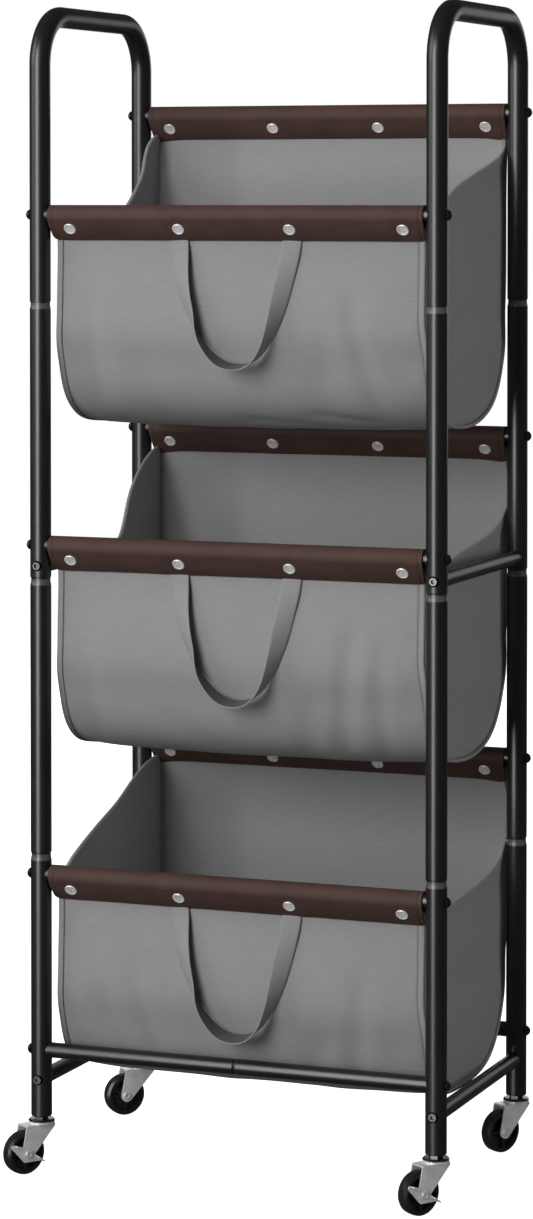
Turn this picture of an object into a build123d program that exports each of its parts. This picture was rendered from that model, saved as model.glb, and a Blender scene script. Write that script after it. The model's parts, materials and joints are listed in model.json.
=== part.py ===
"""Three-tier laundry sorter on casters.

A frame of four bolted tube legs, joined over the top by two U-shaped push handles, carries
three fabric sling bags.  Each bag hangs from a front rail and a higher rear rail, which run
through leatherette sleeves.  Four swivel casters screw into the feet, and the front two have
a rocker brake.

Millimetres, +Z up, -Y is the front.  The origin is on the floor, under the middle of the
whole object, casters included.
"""

from math import acos, atan2, cos, hypot, radians, sin
import os

from build123d import *

os.makedirs("parts", exist_ok=True)

# ---------------------------------------------------------------- driving dimensions

# Frame.  The casters trail to the left and forwards, so the legs stand a little to the
# right of and behind the middle of the whole object.
FRAME_CENTRE_X = 7.5
FRAME_CENTRE_Y = 15.0
LEG_PITCH_X = 436.0
LEG_PITCH_Y = 267.0
TOP = 1220.0
LEG_BOTTOM = 58.6
LEG_JOINTS = (335.5, 623.5, 911.5)

LEG_R = 11.0
BAR_R = 8.0
TUBE_WALL = 1.0
HANDLE_BEND_R = 52.0

NECK_LENGTH = 8.0         # tapered neck below each leg joint
PLUG_LENGTH = 26.0        # swaged plug that goes up inside the next tube
PLUG_R = LEG_R - TUBE_WALL - 0.1

# Bars
TIER_FRONT_Z = {"top": 1002.0, "middle": 657.5, "bottom": 313.0}
REAR_RAIL_RISE = 108.0
SIDE_BAR_Z = {"middle": 636.0, "low": 97.5}
BOTTOM_BAR_Z = 128.0
BAR_NECK = 3.0            # swaged groove where the two halves of a bottom bar meet
BAR_PLUG = 30.0

# Fasteners
SCREW_R = 3.0
SCREW_HOLE_R = 3.2
SCREW_HEAD_R = 5.6
SCREW_HEAD_HEIGHT = 4.6
BARREL_R = 4.6
BARREL_HOLE_R = 5.6
BARREL_PROUD = 1.0
BARREL_LENGTH = LEG_R + 7.4   # from the leg's surface to just short of its far wall
INSERT_LENGTH = 12.0
INSERT_DEPTH = 4.0        # from the leg's surface to the insert
GAP = 0.05

# Bags, measured from the axis of the front rail
BAG_WALL = 2.0
BAG_WIDTH = 403.0
# Points around the bag's bottom on the outer face, from the front rail's axis, each with the
# direction in which the fabric's inner face lies.
BAG_BOTTOM = (
    (16.5, -149.0, 0.94, 0.34), (33.0, -186.5, 0.78, 0.62), (57.0, -208.0, 0.45, 0.89),
    (92.0, -218.5, 0.15, 0.99), (140.0, -221.5, 0.0, 1.0), (190.0, -215.5, -0.3, 0.95),
    (230.0, -196.0, -0.6, 0.8), (252.0, -165.0, -0.86, 0.5), (265.5, -130.0, -0.96, 0.28),
)
SIDE_PANEL_X = 195.6      # centre of the sewn-in side panel
FRONT_DROP_Y = 10.0       # middle of the fabric where it leaves a sleeve, behind the rail
SIDE_EDGE_FRONT = (13.4, -6.0)
SIDE_EDGE_RISE = -1.5     # ends of a side panel, from the lower edges of the sleeves

# Leatherette sleeves, measured from the rail's axis
SLEEVE_R = 10.0
SLEEVE_BORE_R = 8.15
SLEEVE_HALF = 205.4
SLEEVE_DROP = 26.0
SLEEVE_LIP = 5.2          # thickness of the lip that holds the fabric's edge
SLEEVE_SLOT = 2.8
SLOT_DEPTH = 12.0
SLEEVE_END_TAPER = 3.0

# Snap studs
SNAP_X = (-182.7, -61.0, 61.0, 182.7)
SNAP_R = 6.4
SNAP_HEIGHT = 2.4
SNAP_RIM = 0.8
SNAP_POST_R = 1.8
SNAP_POST = 3.0
SNAP_DOWN = 10.0          # from where the flap leaves the rail, down the flap

# Carry strap on the front of each bag
STRAP_THICKNESS = 1.4
# The strap's two edges, from the bag's middle and the front rail's axis: the edge beside the
# bag, then the edge that stands away from it.
STRAP_EDGES = (
    ((-73.5, 7.4, -27.0), (-54.5, 6.9, -27.0)), ((-72.0, 6.9, -42.0), (-52.5, 3.9, -42.0)),
    ((-68.0, 5.0, -61.0), (-50.5, -3.0, -59.0)), ((-57.0, 3.8, -91.0), (-45.0, -10.5, -87.0)),
    ((-46.0, 3.8, -119.0), (-38.0, -13.2, -113.0)), ((-29.0, 3.8, -145.0), (-22.0, -13.8, -138.0)),
    ((-2.0, 3.8, -157.0), (2.0, -14.6, -151.0)), ((25.0, 3.8, -145.0), (29.0, -15.0, -143.0)),
    ((45.0, 3.8, -118.0), (38.0, -14.2, -116.0)), ((56.0, 3.8, -89.0), (43.0, -10.7, -88.0)),
    ((64.0, 5.0, -60.0), (46.0, -2.8, -60.0)), ((68.0, 6.9, -42.0), (48.5, 3.4, -42.0)),
    ((69.5, 7.4, -27.0), (50.5, 6.9, -27.0)),
)

# Casters
WHEEL_R = 22.5
WHEEL_WIDTH = 14.0
WHEEL_HUB_WIDTH = 15.2
WHEEL_HUB_R = 6.5
WHEEL_RIM_INNER_R = 17.4
WHEEL_WEB = 3.0
WHEEL_RIBS = 4
WHEEL_RIB = 1.6
TRAIL = 22.0
AXLE_R = 3.0
AXLE_HEAD_R = 4.3
AXLE_HEAD = 1.5
RUNNING = 0.05
FORK_TOP = 51.0
FORK_PLATE = 1.6
FORK_SIDE = 1.4
FORK_HALF = 9.3
FORK_REAR = 11.0
FORK_FRONT = 23.4
FORK_END_R = 6.8
CUP_R = 13.6
CUP_HEIGHT = 2.0
CUP_TEETH = 28
STEM_R = 4.0
RACE_R = 14.0
RACE_BOTTOM = 53.3
RACE_TOP = 55.6
NUT_FLATS = 13.0
STEM_TOP = 82.0
STEM_HEAD_R = 6.5
STEM_HEAD_BOTTOM = 47.4
FOOT_PLUG_TOP = 86.0

# Brake rocker, measured from the axle, in its own tilted axes
LEVER_TILT = 29.0
LEVER_PLATE = 1.2
LEVER_GAP = 0.3
LEVER_FRONT_TIP = (20.0, 1.5)
LEVER_REAR_TIP = (-15.5, 1.5)
LEVER_TOP = (3.0, 4.5)
LEVER_BOTTOM = (1.0, -9.8)
LEVER_FLANGE = 5.5

# ---------------------------------------------------------------- places

LEFT_X = FRAME_CENTRE_X - LEG_PITCH_X / 2
RIGHT_X = FRAME_CENTRE_X + LEG_PITCH_X / 2
FRONT_Y = FRAME_CENTRE_Y - LEG_PITCH_Y / 2
REAR_Y = FRAME_CENTRE_Y + LEG_PITCH_Y / 2

SIDES = {"left": (LEFT_X, -1), "right": (RIGHT_X, 1)}
ROWS = {"front": (FRONT_Y, -1), "rear": (REAR_Y, 1)}

# Which way each wheel trails from its leg: degrees turned from -X towards -Y.
CASTER_TURN = {
    ("front", "left"): 56.0,
    ("front", "right"): 56.0,
    ("rear", "left"): 46.0,
    ("rear", "right"): 58.0,
}


def rail_heights(row):
    """Heights of the three bag rails in the front or rear row."""
    rise = REAR_RAIL_RISE if row == "rear" else 0.0
    return [z + rise for z in TIER_FRONT_Z.values()]


def save(builder, name):
    """Label a finished piece and write it to its own file."""
    builder.part.label = name
    export_step(builder.part, f"parts/{name}.step")


def drill_leg(row, side, low, high):
    """Cut every screw hole of one leg that falls between two heights."""
    x, x_out = SIDES[side]
    y, y_out = ROWS[row]
    for z in [*rail_heights(row), BOTTOM_BAR_Z]:
        if low < z < high:
            with Locations(Location((x, y, z), (0, 90, 0))):
                Cylinder(SCREW_HOLE_R, 2 * LEG_R + 4, mode=Mode.SUBTRACT)
    for z in SIDE_BAR_Z.values():
        if low < z < high:
            with Locations(Location((x, y, z), (90, 0, 0))):
                Cylinder(SCREW_HOLE_R, 2 * LEG_R + 4, mode=Mode.SUBTRACT)
            with Locations(Location((x, y + y_out * LEG_R, z), (90, 0, 0))):
                Cylinder(BARREL_HOLE_R, LEG_R, mode=Mode.SUBTRACT)


# ---------------------------------------------------------------- frame tubes


def make_handle(side):
    """Inverted U over one end: the top of a front leg and of a rear leg in one tube."""
    x = SIDES[side][0]
    foot = LEG_JOINTS[2]
    crown = TOP - LEG_R
    with BuildPart() as handle:
        with BuildLine():
            FilletPolyline(
                (x, FRONT_Y, foot), (x, FRONT_Y, crown), (x, REAR_Y, crown), (x, REAR_Y, foot),
                radius=HANDLE_BEND_R,
            )
        with BuildSketch(Plane(origin=(x, FRONT_Y, foot), z_dir=(0, 0, 1))):
            Circle(LEG_R)
            Circle(LEG_R - TUBE_WALL, mode=Mode.SUBTRACT)
        sweep()
        for row in ROWS:
            drill_leg(row, side, foot, crown)
    save(handle, f"push_handle_{side}")


def make_leg(row, side, level):
    """One leg tube, with the swaged neck and plug that enter the tube above."""
    x, y = SIDES[side][0], ROWS[row][0]
    bottom = (LEG_BOTTOM, *LEG_JOINTS)[level]
    top = LEG_JOINTS[level]
    wall = TUBE_WALL
    with BuildPart() as leg:
        with BuildSketch(Plane(origin=(x, y, 0), x_dir=(1, 0, 0), z_dir=(0, -1, 0))):
            with BuildLine():
                Polyline(
                    (LEG_R - 0.6, bottom), (LEG_R, bottom + 0.8),
                    (LEG_R, top - NECK_LENGTH), (LEG_R - 0.8, top - NECK_LENGTH / 2),
                    (LEG_R - 0.8, top - GAP), (PLUG_R, top - GAP),
                    (PLUG_R, top + PLUG_LENGTH), (PLUG_R - wall, top + PLUG_LENGTH),
                    (PLUG_R - wall, top - NECK_LENGTH / 2), (LEG_R - wall, top - NECK_LENGTH),
                    (LEG_R - wall, bottom), close=True,
                )
            make_face()
        revolve(axis=Axis((x, y, 0), (0, 0, 1)))
        drill_leg(row, side, bottom, top + PLUG_LENGTH)
    save(leg, f"leg_{('lower', 'middle', 'upper')[level]}_{row}_{side}")


def make_bag_rail(tier, row):
    """Tube between two legs, with its ends cut to sit against them."""
    y = ROWS[row][0]
    z = TIER_FRONT_Z[tier] + (REAR_RAIL_RISE if row == "rear" else 0.0)
    with BuildPart() as rail:
        with BuildSketch(Plane.YZ.offset(FRAME_CENTRE_X)):
            with Locations((y, z)):
                Circle(BAR_R)
                Circle(BAR_R - TUBE_WALL, mode=Mode.SUBTRACT)
        extrude(amount=LEG_PITCH_X / 2, both=True)
        with Locations((LEFT_X, y, z), (RIGHT_X, y, z)):
            Cylinder(LEG_R + GAP, 3 * BAR_R, mode=Mode.SUBTRACT)
    save(rail, f"bag_rail_{tier}_{row}")


def make_side_bar(side, level):
    """Tube from a front leg to a rear leg."""
    x = SIDES[side][0]
    z = SIDE_BAR_Z[level]
    with BuildPart() as bar:
        with BuildSketch(Plane(origin=(x, FRAME_CENTRE_Y, z), x_dir=(1, 0, 0), z_dir=(0, -1, 0))):
            Circle(BAR_R)
            Circle(BAR_R - TUBE_WALL, mode=Mode.SUBTRACT)
        extrude(amount=LEG_PITCH_Y / 2, both=True)
        with Locations((x, FRONT_Y, z), (x, REAR_Y, z)):
            Cylinder(LEG_R + GAP, 3 * BAR_R, mode=Mode.SUBTRACT)
    save(bar, f"side_bar_{level}_{side}")


def make_bottom_bar(row, side):
    """Half of a bottom bar.  The right half has a swaged plug that enters the left half."""
    x = SIDES[side][0]
    y = ROWS[row][0]
    inner = BAR_R - TUBE_WALL
    plug = inner - 0.1
    axis_plane = Plane(origin=(0, y, BOTTOM_BAR_Z), x_dir=(1, 0, 0), z_dir=(0, -1, 0))
    seam = FRAME_CENTRE_X
    with BuildPart() as bar:
        with BuildSketch(axis_plane):
            with BuildLine():
                if side == "left":
                    Polyline(
                        (x, BAR_R), (seam - 0.6, BAR_R), (seam, BAR_R - 0.5),
                        (seam, inner), (x, inner), close=True,
                    )
                else:
                    Polyline(
                        (x, BAR_R), (seam + BAR_NECK, BAR_R), (seam + BAR_NECK / 2, inner + 0.2),
                        (seam + GAP, plug), (seam - BAR_PLUG, plug),
                        (seam - BAR_PLUG, plug - TUBE_WALL), (seam + BAR_NECK, plug - TUBE_WALL),
                        (seam + 2 * BAR_NECK, inner), (x, inner), close=True,
                    )
            make_face()
        revolve(axis=Axis((0, y, BOTTOM_BAR_Z), (1, 0, 0)))
        with Locations((x, y, BOTTOM_BAR_Z)):
            Cylinder(LEG_R + GAP, 3 * BAR_R, mode=Mode.SUBTRACT)
    save(bar, f"bottom_bar_{row}_{side}")


# ---------------------------------------------------------------- fasteners


def rail_screw_planes():
    """A plane on the outer side of a leg, facing out, at each rail and bottom bar end."""
    planes = []
    for row, (y, _) in ROWS.items():
        for x, out in SIDES.values():
            for z in [*rail_heights(row), BOTTOM_BAR_Z]:
                planes.append(Plane(origin=(x + out * LEG_R, y, z), x_dir=(0, 0, 1), z_dir=(out, 0, 0)))
    return planes


def side_bolt_planes():
    """A plane on the front or rear of a leg, facing out, at each side bar end."""
    planes = []
    for y, out in ROWS.values():
        for x, _ in SIDES.values():
            for z in SIDE_BAR_Z.values():
                planes.append(Plane(origin=(x, y + out * LEG_R, z), x_dir=(0, 0, 1), z_dir=(0, out, 0)))
    return planes


def dome(radius, foot, height):
    """Spherical cap from (radius, foot) to (0, foot + height), in a half section."""
    ball_r = (radius**2 + height**2) / (2 * height)
    half_angle = atan2(radius, ball_r - height) / 2
    middle = (ball_r * sin(half_angle), foot + height - ball_r * (1 - cos(half_angle)))
    ThreePointArc((radius, foot), middle, (0, foot + height))


def make_rail_screws():
    """Domed screws through the legs into the ends of the rails and bottom bars."""
    reach = 2 * LEG_R + INSERT_DEPTH + INSERT_LENGTH
    with BuildPart() as screw:
        with BuildSketch(Plane.XZ):
            with BuildLine():
                dome(SCREW_HEAD_R, GAP, SCREW_HEAD_HEIGHT)
                Polyline(
                    (0, GAP + SCREW_HEAD_HEIGHT), (0, -reach), (SCREW_R, -reach), (SCREW_R, GAP),
                    (SCREW_HEAD_R, GAP),
                )
            make_face()
        revolve(axis=Axis.Z)
    with BuildPart() as screws:
        with Locations(*rail_screw_planes()):
            add(screw.part)
    save(screws, "rail_screws")


def make_side_bar_bolts():
    """Barrel-headed hex socket bolts along the side bars."""
    reach = 2 * LEG_R + INSERT_DEPTH + INSERT_LENGTH
    with BuildPart() as bolt:
        with BuildSketch(Plane.XY.offset(-BARREL_LENGTH)):
            Circle(BARREL_R)
        extrude(amount=BARREL_PROUD + BARREL_LENGTH)
        chamfer(bolt.edges().group_by(Axis.Z)[-1], length=0.6)
        with BuildSketch(Plane.XY.offset(BARREL_PROUD)):
            RegularPolygon(2.5, 6)
        extrude(amount=-3.0, mode=Mode.SUBTRACT)
        with BuildSketch(Plane.XY.offset(-reach)):
            Circle(SCREW_R)
        extrude(amount=reach - BARREL_LENGTH)
    with BuildPart() as bolts:
        with Locations(*side_bolt_planes()):
            add(bolt.part)
    save(bolts, "side_bar_bolts")


def make_bar_end_inserts():
    """Threaded inserts inside the tube ends, which the screws pull against the legs."""
    start = 2 * LEG_R + INSERT_DEPTH
    with BuildPart() as insert:
        with BuildSketch(Plane.XY.offset(-start - INSERT_LENGTH)):
            Circle(BAR_R - TUBE_WALL - GAP)
            Circle(SCREW_R + GAP, mode=Mode.SUBTRACT)
        extrude(amount=INSERT_LENGTH)
    with BuildPart() as inserts:
        with Locations(*rail_screw_planes(), *side_bolt_planes()):
            add(insert.part)
    save(inserts, "bar_end_inserts")


# ---------------------------------------------------------------- bags


def bag_outline(inset, rise):
    """The sling's path under the bag, from the front sleeve to the rear sleeve.

    inset moves it in from the outer face of the fabric.  rise is how far its two ends reach
    above the lower edges of the sleeves.
    """
    out = BAG_WALL / 2 - inset
    front_top = (FRONT_DROP_Y - out, rise - SLEEVE_DROP)
    front_low = (9.0 - out, -118.0)
    rear_low = (272.0 + out, -92.0)
    rear_top = (LEG_PITCH_Y + FRONT_DROP_Y + out, REAR_RAIL_RISE + rise - SLEEVE_DROP)
    below = [(y + along * inset, z + up * inset) for y, z, along, up in BAG_BOTTOM]
    Line(front_top, front_low)
    for start, through, end in zip([front_low, *below[1::2]], below[::2], [*below[1::2], rear_low]):
        ThreePointArc(start, through, end)
    Line(rear_low, rear_top)
    return front_top, rear_top


def make_bag(tier):
    """Sling of fabric with two sewn-in side panels, open at the top and front."""
    z = TIER_FRONT_Z[tier]
    left_end = Plane(
        origin=(FRAME_CENTRE_X - BAG_WIDTH / 2, FRONT_Y, z), x_dir=(0, 1, 0), z_dir=(1, 0, 0)
    )
    left_panel = left_end.offset((BAG_WIDTH - BAG_WALL) / 2 - SIDE_PANEL_X)
    with BuildPart() as bag:
        with BuildSketch(left_end):
            with BuildLine():
                start, end = bag_outline(0, SLOT_DEPTH - 1)
                Line(start, end)
            make_face()
            with BuildLine():
                start, end = bag_outline(BAG_WALL, SLOT_DEPTH - 1)
                Polyline(start, (start[0], start[1] + 1), (end[0], end[1] + 1), end)
            make_face(mode=Mode.SUBTRACT)
        extrude(amount=BAG_WIDTH)
        with BuildSketch(left_panel, left_panel.offset(2 * SIDE_PANEL_X)):
            with BuildLine():
                start, end = bag_outline(BAG_WALL / 2, SIDE_EDGE_RISE)
                Polyline(start, (SIDE_EDGE_FRONT[0], start[1]), SIDE_EDGE_FRONT, end)
            make_face()
        extrude(amount=BAG_WALL)
    save(bag, f"bag_{tier}")


def flap_direction():
    """Angle, seen along +X, at which the front flap of a sleeve leaves the rail's curve."""
    lip = (FRONT_DROP_Y - SLEEVE_LIP / 2, -SLEEVE_DROP)
    return atan2(lip[1], lip[0]) - acos(SLEEVE_R / hypot(*lip))


def snap_planes(y, z):
    """Planes on the sloping front flap of the sleeve whose rail is at (y, z)."""
    out = flap_direction()
    down = out + radians(90)
    centre_y = y + SLEEVE_R * cos(out) + SNAP_DOWN * cos(down)
    centre_z = z + SLEEVE_R * sin(out) + SNAP_DOWN * sin(down)
    return [
        Plane(origin=(FRAME_CENTRE_X + x, centre_y, centre_z), x_dir=(1, 0, 0), z_dir=(0, cos(out), sin(out)))
        for x in SNAP_X
    ]


def make_sleeve(tier, row):
    """Leatherette strip wrapped over a rail, with the bag's edge held in its lip."""
    y = ROWS[row][0]
    z = TIER_FRONT_Z[tier] + (REAR_RAIL_RISE if row == "rear" else 0.0)
    left_end = Plane(origin=(FRAME_CENTRE_X - SLEEVE_HALF, y, z), x_dir=(0, 1, 0), z_dir=(1, 0, 0))
    taper = SLEEVE_END_TAPER
    with BuildPart() as sleeve:
        with BuildSketch(left_end):
            Circle(SLEEVE_R)
            with Locations((FRONT_DROP_Y, -SLEEVE_DROP + 2)):
                Rectangle(SLEEVE_LIP, 4)
            make_hull()
            Circle(SLEEVE_BORE_R, mode=Mode.SUBTRACT)
            with Locations((FRONT_DROP_Y, -SLEEVE_DROP + SLOT_DEPTH / 2)):
                Rectangle(SLEEVE_SLOT, SLOT_DEPTH, mode=Mode.SUBTRACT)
        extrude(amount=2 * SLEEVE_HALF)
        with BuildSketch(Plane(origin=(FRAME_CENTRE_X, y, z), x_dir=(1, 0, 0), z_dir=(0, -1, 0))):
            Polygon(
                (-SLEEVE_HALF, SLEEVE_R), (SLEEVE_HALF, SLEEVE_R), (SLEEVE_HALF, -SLEEVE_R / 2),
                (SLEEVE_HALF - taper, -SLEEVE_DROP), (taper - SLEEVE_HALF, -SLEEVE_DROP),
                (-SLEEVE_HALF, -SLEEVE_R / 2), align=None,
            )
        extrude(amount=SLEEVE_DROP, both=True, mode=Mode.INTERSECT)
        with Locations(*snap_planes(y, z)):
            Cylinder(SNAP_POST_R + GAP, 2 * (SNAP_POST + 0.2), mode=Mode.SUBTRACT)
    save(sleeve, f"sleeve_{tier}_{row}")


def make_strap(tier):
    """Webbing loop that hangs in a U from the front of the bag and stands away from it below."""
    rail = Vector(FRAME_CENTRE_X, FRONT_Y, TIER_FRONT_Z[tier])
    edges = [(rail + Vector(*beside), rail + Vector(*away)) for beside, away in STRAP_EDGES]
    middles = [(beside + away) / 2 for beside, away in edges]
    with BuildPart() as strap:
        for i, (beside, away) in enumerate(edges):
            along = middles[min(i + 1, len(edges) - 1)] - middles[max(i - 1, 0)]
            across = away - beside
            if i in (0, len(edges) - 1):
                along = Vector(0, 0, along.Z)
            along = along - across * (along.dot(across) / across.dot(across))
            with BuildSketch(Plane(origin=middles[i], x_dir=across, z_dir=along)):
                Rectangle(across.length, STRAP_THICKNESS)
        loft()
    save(strap, f"carry_strap_{tier}")


def make_snaps():
    """Snap studs that close each sleeve over its rail."""
    with BuildPart() as snap:
        with BuildSketch(Plane.XZ):
            with BuildLine():
                Polyline((0, -SNAP_POST), (SNAP_POST_R, -SNAP_POST), (SNAP_POST_R, GAP), (SNAP_R, GAP))
                Line((SNAP_R, GAP), (SNAP_R, SNAP_RIM))
                dome(SNAP_R, SNAP_RIM, SNAP_HEIGHT - SNAP_RIM)
                Line((0, SNAP_HEIGHT), (0, -SNAP_POST))
            make_face()
        revolve(axis=Axis.Z)
    places = []
    for row, (y, _) in ROWS.items():
        for z in rail_heights(row):
            places.extend(snap_planes(y, z))
    with BuildPart() as snaps:
        with Locations(*places):
            add(snap.part)
    save(snaps, "snap_studs")


# ---------------------------------------------------------------- casters


def caster_base(row, side):
    """Floor plane under a leg: local x is the way the wheel trails, local y the axle's outer end."""
    turn = radians(CASTER_TURN[row, side])
    return Plane(
        origin=(SIDES[side][0], ROWS[row][0], 0),
        x_dir=(-cos(turn), -sin(turn), 0),
        z_dir=(0, 0, 1),
    )


def upright(base, out, along=0.0, height=0.0):
    """Vertical plane facing local +y at a distance out, with its own y pointing up."""
    return Plane(
        origin=base.from_local_coords((along, out, height)),
        x_dir=-base.x_dir,
        z_dir=base.y_dir,
    )


def make_foot_plugs():
    """Plugs in the feet that take the caster stems."""
    with BuildPart() as plugs:
        with Locations(*[(x, y, LEG_BOTTOM) for x, _ in SIDES.values() for y, _ in ROWS.values()]):
            Cylinder(LEG_R - TUBE_WALL - GAP, FOOT_PLUG_TOP - LEG_BOTTOM,
                     align=(Align.CENTER, Align.CENTER, Align.MIN))
            Cylinder(STEM_R + GAP, FOOT_PLUG_TOP - LEG_BOTTOM,
                     align=(Align.CENTER, Align.CENTER, Align.MIN), mode=Mode.SUBTRACT)
    save(plugs, "foot_plugs")


def make_caster_stems():
    """Threaded stems with their nut, upper race and the rivet head that holds the fork."""
    with BuildPart() as stem:
        with BuildSketch(Plane.XZ):
            with BuildLine():
                Polyline(
                    (0, STEM_HEAD_BOTTOM), (STEM_HEAD_R - 1, STEM_HEAD_BOTTOM),
                    (STEM_HEAD_R, STEM_HEAD_BOTTOM + 1), (STEM_HEAD_R, FORK_TOP - FORK_PLATE - 0.3),
                    (STEM_R, FORK_TOP - FORK_PLATE - 0.3), (STEM_R, RACE_BOTTOM),
                    (RACE_R - 0.4, RACE_BOTTOM), (RACE_R, RACE_BOTTOM + 0.6),
                    (RACE_R - 1.6, RACE_TOP), (STEM_R, RACE_TOP), (STEM_R, STEM_TOP), (0, STEM_TOP),
                    close=True,
                )
            make_face()
        revolve(axis=Axis.Z)
        with BuildSketch(Plane.XY.offset(RACE_TOP)):
            RegularPolygon(NUT_FLATS / 2, 6, major_radius=False)
        extrude(amount=LEG_BOTTOM - RACE_TOP - GAP)
    with BuildPart() as stems:
        with Locations(*[(x, y) for x, _ in SIDES.values() for y, _ in ROWS.values()]):
            add(stem.part)
    save(stems, "caster_stems")


def make_fork(row, side):
    """Pressed fork: top plate, two tapering cheeks and the toothed ball cup."""
    base = caster_base(row, side)
    with BuildPart() as fork:
        with BuildSketch(base.offset(FORK_TOP - FORK_PLATE)):
            with Locations(((FORK_FRONT - FORK_REAR) / 2, 0)):
                RectangleRounded(FORK_FRONT + FORK_REAR, 2 * FORK_HALF, 1.2)
        extrude(amount=FORK_PLATE)
        for out in (FORK_HALF, FORK_SIDE - FORK_HALF):
            with BuildSketch(upright(base, out)):
                with Locations((-TRAIL, WHEEL_R)):
                    Circle(FORK_END_R)
                Polygon(
                    (-FORK_FRONT, FORK_TOP - 0.8), (FORK_REAR, FORK_TOP - 0.8), (FORK_REAR, FORK_TOP - 3),
                    align=None,
                )
                make_hull()
                with Locations((-TRAIL, WHEEL_R)):
                    Circle(AXLE_R + RUNNING / 2, mode=Mode.SUBTRACT)
            extrude(amount=-FORK_SIDE)
        with BuildSketch(base.offset(FORK_TOP)):
            Circle(CUP_R)
        extrude(amount=CUP_HEIGHT)
        with BuildSketch(base.offset(FORK_TOP + CUP_HEIGHT)):
            with PolarLocations(CUP_R, CUP_TEETH):
                Rectangle(2.2, 1.3)
        extrude(amount=-1.2, mode=Mode.SUBTRACT)
        with BuildSketch(base.offset(FORK_TOP + CUP_HEIGHT)):
            Circle(CUP_R - 3)
        extrude(amount=-1.2, mode=Mode.SUBTRACT)
        with BuildSketch(base.offset(FORK_TOP + CUP_HEIGHT)):
            Circle(STEM_R + RUNNING)
        extrude(amount=-CUP_HEIGHT - FORK_PLATE, mode=Mode.SUBTRACT)
    save(fork, f"caster_fork_{row}_{side}")


def make_wheel(row, side):
    """Moulded wheel with a recessed, ribbed face on each side."""
    base = caster_base(row, side)
    half = WHEEL_WIDTH / 2
    bore = AXLE_R + RUNNING
    centre = base.from_local_coords((TRAIL, 0, WHEEL_R))
    with BuildPart() as wheel:
        with BuildSketch(Plane(origin=centre, x_dir=base.y_dir, z_dir=base.x_dir)):
            with BuildLine():
                Polyline(
                    (-half + 2.2, WHEEL_R - 0.25), (-half, WHEEL_R - 2.6), (-half, WHEEL_RIM_INNER_R),
                    (-WHEEL_WEB / 2, WHEEL_RIM_INNER_R - 0.8), (-WHEEL_WEB / 2, WHEEL_HUB_R + 0.6),
                    (-WHEEL_HUB_WIDTH / 2, WHEEL_HUB_R), (-WHEEL_HUB_WIDTH / 2, bore),
                    (WHEEL_HUB_WIDTH / 2, bore), (WHEEL_HUB_WIDTH / 2, WHEEL_HUB_R),
                    (WHEEL_WEB / 2, WHEEL_HUB_R + 0.6), (WHEEL_WEB / 2, WHEEL_RIM_INNER_R - 0.8),
                    (half, WHEEL_RIM_INNER_R), (half, WHEEL_R - 2.6), (half - 2.2, WHEEL_R - 0.25),
                )
                ThreePointArc((half - 2.2, WHEEL_R - 0.25), (0, WHEEL_R), (-half + 2.2, WHEEL_R - 0.25))
            make_face()
        revolve(axis=Axis(centre, base.y_dir))
        with BuildSketch(upright(base, half - 1.2, TRAIL, WHEEL_R)):
            with PolarLocations((WHEEL_HUB_R + WHEEL_RIM_INNER_R) / 2, WHEEL_RIBS):
                Rectangle(WHEEL_RIM_INNER_R - WHEEL_HUB_R + 1, WHEEL_RIB)
        extrude(amount=-2 * (half - 1.2))
    save(wheel, f"caster_wheel_{row}_{side}")


def lever_plane(base):
    """The rocker's plate plane: outside the fork cheek, tilted with its front tip up."""
    flat = upright(base, FORK_HALF + LEVER_GAP, TRAIL, WHEEL_R)
    tilt = radians(LEVER_TILT)
    return Plane(
        origin=flat.origin, x_dir=flat.x_dir * cos(tilt) - flat.y_dir * sin(tilt), z_dir=flat.z_dir
    )


def make_axle(row, side):
    """Axle rivet with a head outside each cheek, or outside the brake rocker."""
    base = caster_base(row, side)
    inner_end = -FORK_HALF - GAP
    outer_end = FORK_HALF + GAP
    if row == "front":
        outer_end += LEVER_PLATE + 2 * LEVER_GAP
    with BuildPart() as axle:
        with BuildSketch(upright(base, outer_end, TRAIL, WHEEL_R)):
            Circle(AXLE_R)
        extrude(amount=inner_end - outer_end)
        with BuildSketch(upright(base, outer_end, TRAIL, WHEEL_R)):
            Circle(AXLE_HEAD_R)
        extrude(amount=AXLE_HEAD)
        with BuildSketch(upright(base, inner_end, TRAIL, WHEEL_R)):
            Circle(AXLE_HEAD_R)
        extrude(amount=-AXLE_HEAD)
        head_edges = axle.edges().filter_by(GeomType.CIRCLE).filter_by(lambda e: e.radius > AXLE_R)
        fillet(head_edges.sort_by(Axis(base.origin, base.y_dir))[-1], radius=1.0)
        fillet(head_edges.sort_by(Axis(base.origin, base.y_dir))[0], radius=1.0)
        with BuildSketch(upright(base, outer_end + AXLE_HEAD, TRAIL, WHEEL_R)):
            Circle(AXLE_R * 0.6)
        extrude(amount=-1.2, taper=25, mode=Mode.SUBTRACT)
    save(axle, f"caster_axle_{row}_{side}")


def make_brake_rocker(side):
    """Rocking brake plate on the axle, with a toe flange at each end."""
    plate = lever_plane(caster_base("front", side))
    with BuildPart() as rocker:
        with BuildSketch(plate):
            for point, corner in (
                (LEVER_FRONT_TIP, 2.4), (LEVER_REAR_TIP, 1.2), (LEVER_TOP, 1.5), (LEVER_BOTTOM, 3.2),
            ):
                with Locations((-point[0], point[1] - corner * (1 if point[1] > 0 else -1))):
                    Circle(corner)
            make_hull()
            Circle(AXLE_R + RUNNING, mode=Mode.SUBTRACT)
        extrude(amount=LEVER_PLATE)
        with BuildSketch(plate):
            with Locations((-14.5, 2.1)):
                Rectangle(9.0, LEVER_PLATE, rotation=13)
            with Locations((15.0, 0.9)):
                Rectangle(9.0, LEVER_PLATE, rotation=-6)
        extrude(amount=LEVER_FLANGE)
    save(rocker, f"brake_rocker_{side}")


# ---------------------------------------------------------------- build everything

for handle_side in SIDES:
    make_handle(handle_side)

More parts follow.
